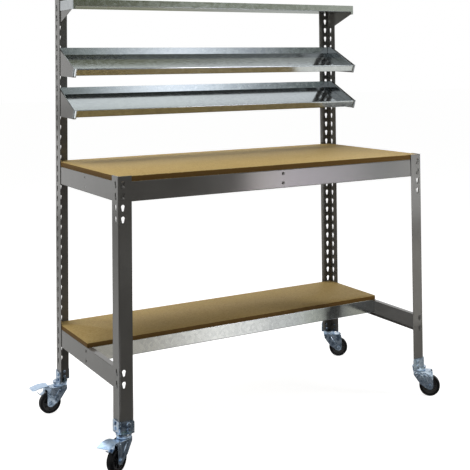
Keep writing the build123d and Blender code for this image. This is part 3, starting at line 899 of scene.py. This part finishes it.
def traySection():
    # (outer, inner) pairs of (y, z) from the lip's hem over the deck to the top of the back wall,
    # and where the deck begins
    values = trayValues
    rise, depth = values["rise"], values["depth"]
    slope = math.hypot(depth, rise)
    lipTop = (-values["lip"] * rise / slope, values["lip"] * depth / slope)
    top = (depth, rise + values["back"])
    points = [lipTop, (0.0, 0.0), (depth, rise), top]
    pairs = hemPairs(points[0], unit(points[0], points[1]))
    deckStart = 0
    outerRadius = values["bend"] + values["sheet"]
    for before, corner, after in zip(points, points[1:], points[2:]):
        (ax, ay), (bx, by) = unit(before, corner), unit(corner, after)
        turn = math.atan2(ax * by - ay * bx, ax * bx + ay * by)
        reach = outerRadius * math.tan(turn / 2)
        center = (corner[0] - ax * reach - ay * outerRadius, corner[1] - ay * reach + ax * outerRadius)
        for i in range(values["bendSteps"] + 1):
            angle = turn * i / values["bendSteps"]
            cosine, sine = math.cos(angle), math.sin(angle)
            out = (ay * cosine + ax * sine, -ax * cosine + ay * sine)
            pairs.append(tuple(
                (center[0] + out[0] * radius, center[1] + out[1] * radius)
                for radius in (outerRadius, values["bend"])
            ))
        deckStart = deckStart or len(pairs) - 1
    pairs.append((top, (top[0] - values["sheet"], top[1])))
    return pairs, deckStart


def stretchedSection(pairs, fromX, toX):
    # the section drawn out along X as one closed sheet
    edit = bmesh.new()
    outline = [pair[0] for pair in pairs] + [pair[1] for pair in reversed(pairs)]
    corners = [[edit.verts.new((x * mm, y * mm, z * mm)) for y, z in outline] for x in (fromX, toX)]
    addWalls(edit, corners, hasEnds=False)
    last = len(outline) - 1
    for ring in corners:
        for i in range(len(pairs) - 1):
            edit.faces.new((ring[i], ring[i + 1], ring[last - i - 1], ring[last - i]))
    return meshFrom(edit, "section", outward=True)


def cornerCap(side):
    # a thin folded cap over the front corner of an end plate
    # its profile is (reach along X, how far it stands proud)
    outer = [(616.2, 2.6), (620.0, 1.9), (623.5, 1.0), (626.2, -0.1), (627.6, -1.9), (627.8, -5.5)]
    inner = [(616.2, 0.15), (620.0, 0.15), (623.5, 0.15), (626.35, -0.6), (627.15, -2.3), (627.15, -5.5)]
    depth, rise = trayValues["depth"], trayValues["rise"]
    slope = math.hypot(depth, rise)
    up, proud = Vector((0, -rise / slope, depth / slope)), Vector((0, -depth / slope, -rise / slope))
    edit = bmesh.new()
    rings = []
    for height in (-1.5, trayValues["lip"] - 0.6):
        points = [Vector((side * x, 0, 0)) + proud * out + up * height for x, out in outer + inner[::-1]]
        rings.append([edit.verts.new(point * mm) for point in points])
    addWalls(edit, rings)
    return meshFrom(edit, "cornerCap", outward=True)


def trayMesh(bottom):
    values = trayValues
    pairs, deckStart = traySection()
    innerLip = pairs[3][1]
    depth, rise = values["depth"], values["rise"]
    shoulder, top, width = depth - values["shoulder"], rise + values["back"], values["rimWidth"]
    wallTop = top - values["wallDrop"]
    wall = [
        innerLip, pairs[deckStart][1], (depth - 2.4, rise + 1.4), (depth - 3.6, wallTop),
        (shoulder, wallTop),
    ]
    rim = [
        innerLip, (shoulder, wallTop), (shoulder + 2.0, top - width),
        (innerLip[0] + width, innerLip[1] - 1.6),
    ]
    turn = Matrix.Rotation(math.radians(90), 4, "Z")
    outer = values["wallX"] + values["wallSheet"]
    parts = [stretchedSection(pairs, -values["lipReach"], values["lipReach"])]
    for side in (-1, 1):
        parts.append(stretchedSection(
            pairs[deckStart:], *sorted((side * values["lipReach"], side * values["reach"])),
        ))
        wallPlate = plateMesh(wall, *sorted((-side * values["wallX"], -side * outer)))
        rimPlate = plateMesh(rim, *sorted((-side * (values["wallX"] - values["rimSheet"]), -side * outer)))
        parts += [placed(wallPlate, turn), placed(bevelled(rimPlate, 0.4), turn), cornerCap(side)]
    whole = placed(joined(parts), Matrix.Translation((0, values["frontY"] * mm, bottom * mm)))
    return shadeByAngle(whole, degrees=30, bendStart=12)


for name, bottom in trayValues["bottoms"].items():
    newPiece(name + "Tray", trayMesh(bottom), "galvanised", [name + "_tray"])
print("trays made")


# Castors, drawn with the swivel axis on Z and the wheel trailing towards +X, then set at each corner

castorValues = {
    "trail": 40.0, "wheelRadius": 40.0, "tyreHalf": 12.5, "hubHalf": 10.5, "bossHalf": 14.7, "ribs": 8,
    "legInner": 15.0, "legOuter": 17.2, "crownLow": 95.8, "crownHigh": 98.0, "headHigh": 109.0,
    "axleRadius": 4.0, "axleHead": 6.9, "axleHeadHeight": 4.5, "pivotX": 46.0, "pivotZ": 91.0,
    "pedalTop": 107.5, "pedalHalf": 19.5, "pedalSheet": 2.0, "plateHalf": 25.0, "plateEnd": 107.0,
    "plateCorner": 5.0, "plateBend": 81.0, "plateSlope": 0.26, "skirtDepth": 6.0,
}
alongY = Matrix.Rotation(math.radians(-90), 4, "X")


def spokeTree():
    # ribs set round the Z axis like spokes
    tree, given = newTree("spokedRibs", {"Rib": "Object", "Count": "Int", "Material": "Material"})
    line = addNode(tree, "GeometryNodeMeshLine", {
        "Count": given["Count"], "Offset": (0, 0, 0),
    }, mode="OFFSET")
    index = addNode(tree, "GeometryNodeInputIndex").outputs["Index"]
    turn = calculated(tree, "MULTIPLY", calculated(tree, "DIVIDE", index, given["Count"]), 2 * math.pi)
    rotation = addNode(tree, "FunctionNodeEulerToRotation", {"Euler": alongZ(tree, turn)})
    ribs = copiesOn(tree, line.outputs["Mesh"], given["Rib"], {"Rotation": rotation.outputs["Rotation"]})
    return finishTree(tree, [given["Geometry"], ribs], given["Material"])


def bothEnds(side):
    # a turned profile carried on to its mirror image below
    return side + [(radius, -height) for radius, height in reversed(side)]


def hubMesh():
    # drum with a recess on each side, a longer boss round the axle and ribs across the recess
    half, boss = castorValues["hubHalf"], castorValues["bossHalf"]
    drum = turnedMesh(bothEnds([
        (4.05, boss), (9.6, boss), (10.6, boss - 0.8), (11.0, 6.2), (12.5, 5.0), (23.5, 4.4), (25.6, 5.4),
        (26.4, half - 0.4), (27.0, half), (29.4, half), (30.0, half - 0.5),
    ]), steps=56, closed=True)
    rib = bevelled(plateMesh([(10.0, -9.0), (26.2, -9.0), (26.2, 9.0), (10.0, 9.0)], -1.0, 1.0), 0.3, 1)
    return shadeByAngle(grown(drum, spokeTree(), {
        "Rib": bpy.data.objects.new("hubRib", rib), "Count": castorValues["ribs"],
        "Material": slotMaterials["hub_plastic"],
    }))


def tyreMesh():
    half, radius = castorValues["tyreHalf"], castorValues["wheelRadius"]
    return turnedMesh(bothEnds([
        (30.05, half - 0.6), (31.0, half), (36.2, half), (37.6, half - 0.35), (38.8, half - 1.4),
        (39.5, half - 3.0), (39.85, half - 5.5), (radius, half - 9.0),
    ]), steps=72, closed=True)


def forkMesh():
    # pressed crown and two legs with an embossed rib, edges rounded as a press leaves them
    v = castorValues
    outline = hullOutline([
        (-19.0, v["crownHigh"] - 3.0, 3.0), (-19.0, v["crownHigh"] - 14.0, 3.0), (6.0, 51.0, 4.0),
        (v["trail"], v["wheelRadius"], 14.0), (v["pivotX"], v["pivotZ"], 7.0),
    ], steps=24)
    leg = bevelled(plateMesh(outline, v["legInner"], v["legOuter"]), 0.7, degrees=50)
    ribOutline = hullOutline([(22.0, 59.0, 4.2), (6.0, 82.0, 4.2)], steps=8)
    rib = bevelled(plateMesh(ribOutline, 16.0, 18.4), 1.1, degrees=50)
    legs = joined([leg, rib])
    crownEnd = v["pivotX"] - 2.0
    crownOutline = hullOutline([(0, 0, 25.0), (crownEnd, 15.2, 2.0), (crownEnd, -15.2, 2.0)], steps=24)
    crown = placed(plateMesh(crownOutline, -v["crownHigh"], -v["crownLow"]), alongY)
    crown = bevelled(crown, 0.8, degrees=50)
    return joined([legs, placed(legs, Matrix.Diagonal((1, -1, 1, 1))), crown])


def headMesh():
    # upper race with a rolled groove, and the king pin's nut under the crown
    top = castorValues["headHigh"]
    race = turnedMesh([
        (0, top), (25.0, top), (25.0, 104.6), (24.2, 103.6), (24.2, 102.8), (25.0, 102.0),
        (25.0, 100.0), (24.3, 98.8), (6.0, 98.6), (6.0, 95.5), (0, 95.5),
    ])
    pinTip = turnedMesh([(0, 92.2), (5.0, 92.2), (4.4, 91.6), (0, 91.6)], steps=16)
    return joined([race, hexMesh(10.0, 92.1, 95.5), pinTip])


def axleMesh():
    # a bolt along Z with a washer and hexagon at each end
    radius, half, head = castorValues["axleRadius"], castorValues["legOuter"], castorValues["axleHead"]
    high = half + castorValues["axleHeadHeight"]
    washer = turnedMesh([
        (radius, half), (head + 1.0, half), (head + 1.0, half + 0.8), (radius, half + 0.8),
    ], steps=24, closed=True)
    tip = turnedMesh([(0, high), (radius - 0.6, high), (radius, high - 0.6), (radius, 0), (0, 0)], steps=20)
    side = joined([washer, hexMesh(head, half + 0.8, high - 0.6), tip])
    return shadeByAngle(joined([side, placed(side, Matrix.Diagonal((1, 1, -1, 1)))]))


def pinMesh():
    # the pedal's pin with a domed head at each end
    half = castorValues["pedalHalf"] + 0.3
    return turnedMesh(bothEnds([
        (0, half + 1.6), (1.6, half + 1.5), (3.2, half + 0.9), (4.2, half), (2.5, half),
    ]), steps=20)


def pedalMesh():
    # plate with rounded free corners that slopes down to its tip, skirts and a lug each side of the fork
    v = castorValues
    half, top, wide, sheet, corner = (
        v[key] for key in ("pedalHalf", "pedalTop", "plateHalf", "pedalSheet", "plateCorner")
    )
    plan = [(60.0, -wide), (50.0, -half), (50.0, half), (60.0, wide)]
    plan += arcPoints(v["plateEnd"], wide - corner, corner, 90, 0, 5)
    plan += arcPoints(v["plateEnd"], corner - wide, corner, 0, -90, 5)
    parts = [placed(plateMesh(plan, -top, sheet - top), alongY)]
    skirtLow = top - v["skirtDepth"]
    skirt = [(48.0, top - 1.0), (104.0, top - 1.0), (104.0, skirtLow), (48.0, skirtLow)]
    lug = hullOutline([
        (v["pivotX"], v["pivotZ"], 7.0), (50.0, top - 4.0, 2.0), (63.0, top - 4.0, 3.0),
    ], steps=12)
    for low, high in ((half - sheet, half), (-half, sheet - half)):
        parts += [plateMesh(skirt, low, high), plateMesh(lug, low, high)]
    whole = bmesh.new()
    for mesh in parts:
        whole.from_mesh(mesh)
    bend = v["plateBend"] * mm
    everything = whole.verts[:] + whole.edges[:] + whole.faces[:]
    bmesh.ops.bisect_plane(whole, geom=everything, plane_co=(bend, 0, 0), plane_no=(1, 0, 0))
    for vert in whole.verts:
        vert.co.z -= max(0.0, vert.co.x - bend) * v["plateSlope"]
    return bevelled(meshFrom(whole, "pedal"), 0.7, degrees=50)


onAxle = Matrix.Translation((castorValues["trail"] * mm, 0, castorValues["wheelRadius"] * mm)) @ alongY
onPivot = Matrix.Translation((castorValues["pivotX"] * mm, 0, castorValues["pivotZ"] * mm)) @ alongY
# name, mesh, slot, ending of its body, ending of the node it stands for
castorPieces = [
    ("SwivelHead", headMesh(), "zinc", None, "_swivel_head"),
    ("Fork", forkMesh(), "zinc", "_swivel", "_fork"),
    ("Axle", placed(axleMesh(), onAxle), "zinc", "_swivel", "_axle"),
    ("Hub", placed(hubMesh(), onAxle), "hub_plastic", "_wheel", "_wheel_hub"),
    ("Tyre", placed(tyreMesh(), onAxle), "tyre_rubber", "_wheel", "_tyre"),
]
brakePieces = [
    ("PedalPin", placed(pinMesh(), onPivot), "zinc", "_swivel", "_pedal_pin"),
    ("Pedal", pedalMesh(), "zinc", "_pedal", "_brake_pedal"),
]
joints = {entry["name"]: entry for entry in frame["joints"]}
for corner, label, hasBrake in (
    ("front_left", "frontLeft", True), ("front_right", "frontRight", False),
    ("rear_left", "rearLeft", True), ("rear_right", "rearRight", False),
):
    axis = joints[corner + "_swivel"]["pos_m"]
    roll = joints[corner + "_roll"]["axis"]
    heading = math.atan2(-roll[0], roll[1])
    place = Matrix.Translation((axis[0], axis[1], 0)) @ Matrix.Rotation(heading, 4, "Z")
    pieces = castorPieces + brakePieces if hasBrake else castorPieces
    for name, mesh, slot, bodyEnding, nodeEnding in pieces:
        body = corner + bodyEnding if bodyEnding else "root"
        # the swivel head and pedal take the zinc copy that is painted lighter for the light they show
        material = paintedLighterZinc if name in ("SwivelHead", "Pedal") else None
        newPiece(label + name, placed(mesh, place), slot, [corner + nodeEnding], body, material)
print("castors made")


# Camera, floor, lights

cameraValues = {
    "place": (-1.7984, -3.2992, 1.3093), "yaw": 31.344, "pitch": -1.4125, "roll": 0.620,
    "lens": 74.04, "shiftX": -0.1081, "shiftY": -0.4193, "sensor": 36.0,
}


def aimedCamera():
    values = cameraValues
    yaw, pitch, roll = (math.radians(values[key]) for key in ("yaw", "pitch", "roll"))
    ahead = Vector((math.sin(yaw), math.cos(yaw), 0))
    right = Vector((math.cos(yaw), -math.sin(yaw), 0))
    forward = ahead * math.cos(pitch) - Vector((0, 0, 1)) * math.sin(pitch)
    up = ahead * math.sin(pitch) + Vector((0, 0, 1)) * math.cos(pitch)
    imageRight = right * math.cos(roll) - up * math.sin(roll)
    imageUp = right * math.sin(roll) + up * math.cos(roll)
    data = bpy.data.cameras.new("camera")
    data.lens, data.sensor_width = values["lens"], values["sensor"]
    data.shift_x, data.shift_y = values["shiftX"], values["shiftY"]
    camera = linkedObject("camera", data)
    turn = Matrix((imageRight, imageUp, -forward)).transposed().to_4x4()
    camera.matrix_world = Matrix.Translation(values["place"]) @ turn
    bpy.context.scene.camera = camera


aimedCamera()

stageValues = {
    "floorSize": 60.0, "floorColor": "#B4B4B2", "floorLift": 0.9, "glossLift": 0.4,
    "worldColor": "#FFFFFF", "worldStrength": 0.2, "screenY": -4.5,
}


def studioWorld():
    # white to the camera and to gloss, a plain even light for everything else
    world = bpy.data.worlds.new("studio")
    world.use_nodes = True
    tree = world.node_tree
    tree.nodes.clear()
    rays = addNode(tree, "ShaderNodeLightPath").outputs
    seen = calculated(tree, "MAXIMUM", rays["Is Camera Ray"], rays["Is Transmission Ray"])
    seen = calculated(tree, "MAXIMUM", seen, rays["Is Glossy Ray"])
    background = addNode(tree, "ShaderNodeBackground", {
        "Color": hexColor(stageValues["worldColor"]),
        "Strength": remapped(tree, seen, stageValues["worldStrength"], 1.0),
    })
    addNode(tree, "ShaderNodeOutputWorld", {"Surface": background.outputs["Background"]})
    bpy.context.scene.world = world


def stagePanel(name, corners, material):
    mesh = bpy.data.meshes.new(name)
    mesh.from_pydata(corners, [], [(0, 1, 2, 3)])
    mesh.materials.append(material)
    panel = linkedObject(name, mesh)
    return panel


def flatCorners(low, high, z):
    return [(low[0], low[1], z), (high[0], low[1], z), (high[0], high[1], z), (low[0], high[1], z)]


def paleFloor():
    # matt pale floor, lifted to white for the camera but still taking the bench's shadow
    material, tree = bareMaterial("matPaintedFloor")
    rays = addNode(tree, "ShaderNodeLightPath").outputs
    matt = addNode(tree, "ShaderNodeBsdfDiffuse", {"Color": hexColor(stageValues["floorColor"])})
    gloss = calculated(tree, "MULTIPLY", rays["Is Glossy Ray"], stageValues["glossLift"])
    lift = calculated(tree, "MULTIPLY_ADD", rays["Is Camera Ray"], stageValues["floorLift"], gloss)
    glow = addNode(tree, "ShaderNodeEmission", {"Color": (1, 1, 1, 1), "Strength": lift})
    both = addNode(tree, "ShaderNodeAddShader", {0: matt.outputs["BSDF"], 1: glow.outputs["Emission"]})
    addNode(tree, "ShaderNodeOutputMaterial", {"Surface": both.outputs["Shader"]})
    half = stageValues["floorSize"] / 2
    stagePanel("floor", flatCorners((-half, -half), (half, half), 0), material)


def glowingCard(name, corners, material, color, strength):
    # a panel that only reflections see
    tree = material.node_tree
    glow = addNode(tree, "ShaderNodeEmission", {"Color": color, "Strength": strength})
    addNode(tree, "ShaderNodeOutputMaterial", {"Surface": glow.outputs["Emission"]})
    panel = stagePanel(name, corners, material)
    for kind in ("camera", "diffuse", "shadow", "transmission"):
        setattr(panel, "visible_" + kind, False)


def reflectorCard(name, y, lowZ, highZ, stops):
    # an upright card along X; stops are (x, brightness, hex colour) from its one end to the other
    material, tree = bareMaterial(name)
    fromX, toX = stops[0][0], stops[-1][0]
    highest = max(brightness for x, brightness, color in stops)
    place = addNode(tree, "ShaderNodeTexCoord").outputs["Object"]
    along = addNode(tree, "ShaderNodeSeparateXYZ", {"Vector": place}).outputs["X"]
    share = remapped(tree, along, 0.0, 1.0, fromX, toX)
    tints, levels = [], []
    for x, brightness, color in stops:
        tints.append(((x - fromX) / (toX - fromX), color))
        levels.append((tints[-1][0], (*[brightness / highest] * 3, 1.0)))
    strength = calculated(tree, "MULTIPLY", ramp(tree, share, levels), highest)
    corners = [(fromX, y, lowZ), (toX, y, lowZ), (toX, y, highZ), (fromX, y, highZ)]
    glowingCard(name, corners, material, ramp(tree, share, tints), strength)


def floorCard(name, low, high, brightness, lift=0.002):
    glowingCard(name, flatCorners(low, high, lift), bareMaterial(name)[0], (1, 1, 1, 1), brightness)


def softLamp(name, place, target, size, watts):
    data = bpy.data.lights.new(name, "AREA")
    data.shape = "RECTANGLE"
    data.size, data.size_y = size
    data.energy = watts
    lamp = linkedObject(name, data)
    lamp.location = place
    lamp.rotation_euler = (Vector(target) - Vector(place)).to_track_quat("-Z", "Y").to_euler()
    lamp.visible_camera = False
    lamp.visible_glossy = False


studioWorld()
paleFloor()
softLamp("topLamp", (-0.45, 0.5, 3.2), (0, 0.1, 0.9), (2.6, 2.0), 70.0)
softLamp("backLeftLamp", (-2.3, 1.3, 1.1), (0, 0, 0.5), (1.0, 1.4), 14.0)
softLamp("frontRightLamp", (1.7, -1.35, 0.9), (0.3, -0.3, 0.7), (0.5, 1.1), 17.0)

# painted reflections: glowing cards that only gloss sees stand for what the trays, rails and castors mirror,
# far screens first, then cards close to a piece
screenY = stageValues["screenY"]
reflectorCard("lowScreen", screenY, 0.0, 0.8, [(0.2, 0.02, "#FFFFFF"), (2.3, 0.02, "#FFF4E6")])
reflectorCard("middleScreen", screenY, 0.8, 1.25, [
    (0.2, 0.1, "#FFFFFF"), (0.95, 0.4, "#F4FFFB"), (1.14, 0.6, "#F4FFFD"), (1.48, 1.45, "#F4FAFF"),
    (1.85, 3.0, "#F4F8FF"), (2.23, 3.0, "#F0F5FF"), (2.63, 1.9, "#F0F8FF"), (3.05, 0.7, "#F2F9FF"),
    (3.5, 0.28, "#ECFFFC"), (8.0, 0.05, "#F2FFFB"),
])
reflectorCard("upperScreen", screenY, 1.25, 1.66, [
    (0.2, 0.1, "#FFFFFF"), (0.95, 0.3, "#F4FFFA"), (1.14, 0.5, "#F4FFFA"), (1.48, 1.1, "#F6FBFF"),
    (1.85, 1.8, "#F6FAFF"), (2.1, 2.6, "#F6F8FF"), (2.3, 2.5, "#F4F6FF"), (2.63, 1.5, "#F2F9FF"),
    (3.05, 0.85, "#F2F4FF"), (3.5, 0.15, "#ECFFFC"), (8.0, 0.05, "#F2FFFB"),
])
reflectorCard("highScreen", screenY, 1.66, 2.5, [
    (0.2, 0.12, "#FDFFBE"), (0.9, 0.18, "#FDFFBE"), (1.22, 0.22, "#FDFFBE"), (1.65, 0.28, "#FDFFC2"),
    (2.13, 0.37, "#FDFFC8"), (2.65, 0.48, "#FCFFD4"), (3.15, 0.6, "#FBFFDF"), (3.4, 0.7, "#FCFFE4"),
    (3.8, 1.0, "#FDFFEC"), (4.6, 1.0, "#FDFFEC"),
])
reflectorCard("softboxReflection", -2.0, 0.35, 0.8, [
    (0.78, 1.0, "#FFFFFF"), (0.85, 10.5, "#FFF6F4"), (1.1, 8.6, "#FBF4FF"), (1.4, 6.6, "#FBF6FF"),
    (1.6, 4.2, "#FCFAFF"), (1.7, 2.4, "#F0FCFF"), (1.85, 3.6, "#FFFFFF"), (2.1, 4.4, "#FFFFFF"),
])
reflectorCard("ceilingScreen", -3.0, 3.3, 6.5, [
    (0.6, 0.5, "#FBFFD0"), (1.9, 0.5, "#FBFFDA"), (2.2, 0.6, "#FCFFF0"), (2.6, 0.6, "#FFFFFF"),
    (3.6, 0.8, "#FFFFFF"),
])
reflectorCard("backSoftbox", 2.5, 2.0, 5.6, [
    (-0.2, 1.25, "#FBFFFF"), (1.2, 1.5, "#FAFFFF"), (2.2, 1.3, "#F8FCFF"), (3.6, 1.1, "#F8FCFF"),
])
reflectorCard("lowBeamLight", -0.5, 0.02, 0.22, [
    (-0.5, 0.7, "#FFF4E2"), (-0.19, 1.0, "#FFF6E8"), (-0.04, 1.45, "#FFF8EE"), (0.117, 2.1, "#FFF9F2"),
    (0.336, 1.85, "#FFFAF4"), (0.406, 1.45, "#FFFBF6"), (0.548, 1.25, "#FFFDF8"), (0.62, 1.0, "#FFFFF0"),
    (0.69, 0.7, "#FFFFF0"), (0.77, 0.3, "#FFFEFA"), (0.87, 0.8, "#FFFAE6"), (1.4, 0.8, "#FFFAE6"),
])
reflectorCard("lowFrontLight", -1.0, 0.0, 0.45, [
    (1.0, 0.9, "#FFFCF0"), (1.1, 1.55, "#FFFCF4"), (1.8, 1.6, "#FFFDF6"),
])
reflectorCard("leftRailLight", 3.2, 0.3, 0.85, [(-3.0, 1.15, "#FFFFFF"), (-0.9, 1.13, "#FFFFFF")])
reflectorCard("behindUpperTray", 0.5, 1.49, 1.59, [
    (-0.62, 0.16, "#FAFFCC"), (-0.2, 0.24, "#FBFFCC"), (0.15, 0.36, "#FCFFF0"), (0.5, 0.5, "#FAFFF8"),
    (1.5, 0.4, "#FAFFF8"),
])
reflectorCard("behindLowerTray", 0.5, 1.33, 1.395, [
    (-0.62, 0.1, "#FFFFD8"), (-0.2, 0.13, "#FFFFDC"), (0.15, 0.18, "#FFFFF0"), (0.5, 0.45, "#FFFFFF"),
    (1.5, 0.3, "#FAFFF8"),
])
reflectorCard("pedalLight", -0.24, 0.13, 0.34, [(-0.76, 2.0, "#F4FAFF"), (-0.665, 2.0, "#F4FAFF")])
# painted reflections of the floor: darker cards in front of and right of the bench, a bright one at the front
# left, and painted shade under the bench
floorCard("darkFloor", (-2.5, -4.4), (0.5, -0.34), 0.13)
floorCard("darkFloorRight", (0.5, -0.62), (1.2, -0.34), 0.2)
floorCard("darkFloorCorner", (1.4, -1.1), (2.3, 0.1), 0.03, 0.003)
floorCard("brightFloorCorner", (-1.5, -1.8), (-0.66, -0.8), 2.4, 0.004)
floorCard("darkUnderside", (-0.6, -0.34), (0.6, 0.28), 0.2)
bpy.context.scene.view_settings.view_transform = "Standard"
